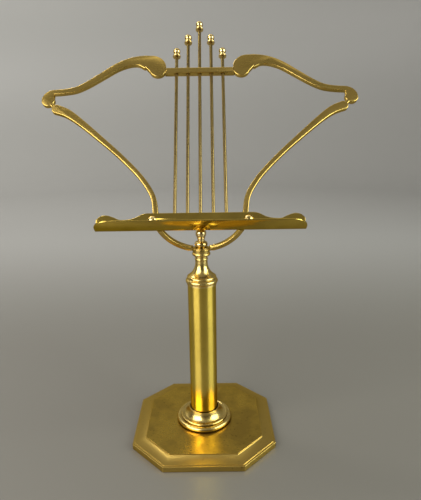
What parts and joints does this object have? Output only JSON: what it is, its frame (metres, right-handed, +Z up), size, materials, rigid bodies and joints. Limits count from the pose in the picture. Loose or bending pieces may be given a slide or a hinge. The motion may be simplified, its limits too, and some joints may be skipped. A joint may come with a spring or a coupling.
{
  "type": "tabletop music stand",
  "caption": "Tabletop brass music stand: a lyre-shaped rack with string rods and a sheet ledge, clamped by a finial on a turned column and a moulded cast base.",
  "frame": {"origin": "on the column's axis, at the plane the base stands on", "axes": "+Z up the column, +X across the stand along the ledge, +Y towards the back, the way the rack leans"},
  "size_m": [0.3362, 0.2087, 0.4314],
  "materials": {
    "cast_base": "satin",
    "cast_frame": "satin",
    "turned_brass": "polished",
    "polished_tube": "polished",
    "polished_sheet": "polished",
    "string_brass": "satin",
    "steel_rod": "satin"
  },
  "bodies": {
    "stand": {"base_plinth": "cast_base", "base_collar": "turned_brass", "column_tube": "polished_tube", "capital": "turned_brass", "tie_rod": "steel_rod", "base_washer": "steel_rod", "base_nut": "steel_rod"},
    "rack": {"lyre_frame": "cast_frame", "crossbar": "cast_frame", "lower_rail": "cast_frame", "string_rod_1": "string_brass", "string_rod_2": "string_brass", "string_rod_3": "string_brass", "string_rod_4": "string_brass", "string_rod_5": "string_brass", "string_finial_1": "turned_brass", "string_finial_2": "turned_brass", "string_finial_3": "turned_brass", "string_finial_4": "turned_brass", "string_finial_5": "turned_brass", "ledge": "polished_sheet", "ledge_screw_left": "turned_brass", "ledge_screw_right": "turned_brass"},
    "clamp_washer": {"clamp_washer": "turned_brass"},
    "clamp_finial": {"clamp_finial": "turned_brass"}
  },
  "joints": [
    {"name": "rack_turn", "type": "hinge", "parent": "stand", "child": "rack", "pos_m": [0, 0, 0.198], "axis": [0, 0, 1], "continuous": true},
    {"name": "washer_rise", "type": "slide", "parent": "stand", "child": "clamp_washer", "axis": [0, 0, 1], "range_m": [0, 0.0017]},
    {"name": "finial_turn", "type": "hinge", "parent": "clamp_washer", "child": "clamp_finial", "pos_m": [0, 0, 0.202], "axis": [0, 0, 1], "range_deg": [0, 720]}
  ],
  "couplings": [
    {"joint": "washer_rise", "follows": "finial_turn", "m_per_rad": 0.00012732}
  ]
}
